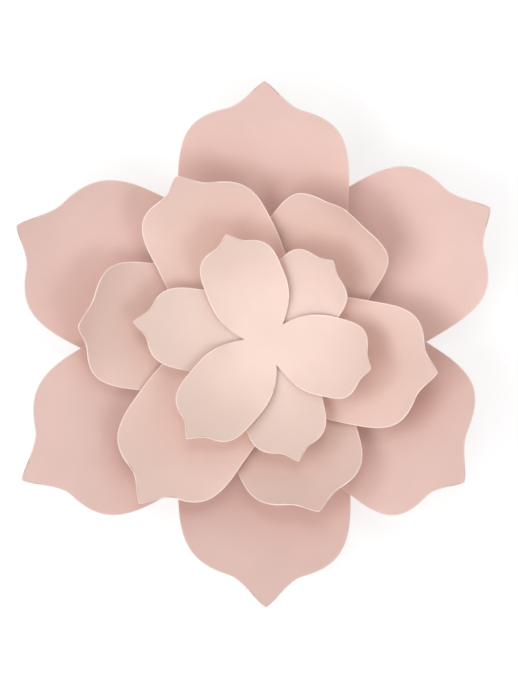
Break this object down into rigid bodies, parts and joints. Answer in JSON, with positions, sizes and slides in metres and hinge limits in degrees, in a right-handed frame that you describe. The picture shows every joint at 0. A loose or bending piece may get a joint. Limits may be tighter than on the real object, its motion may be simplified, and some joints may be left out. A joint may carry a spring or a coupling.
{
  "type": "giant paper flower",
  "caption": "Giant paper flower in blush-pink card, with layers of pointed petals that curl up round a flat middle.",
  "frame": {"origin": "centre of the flat back of the lowest card sheet", "axes": "+Z out of the flower's face, away from the wall or table behind it; +Y towards the tip of the top petal of the upper large sheet, to within two degrees"},
  "size_m": [0.3473, 0.3813, 0.1121],
  "materials": {
    "card": "matte",
    "glue": "satin",
    "foam": "matte"
  },
  "bodies": {
    "root": {"large_sheet_lower": "card", "large_glue_dot": "glue", "large_sheet_upper": "card", "medium_foam_pad": "foam", "medium_sheet_lower": "card", "medium_glue_dot": "glue", "medium_sheet_upper": "card", "small_foam_pad": "foam", "small_sheet_lower": "card", "small_glue_dot": "glue", "small_sheet_upper": "card"}
  },
  "joints": []
}
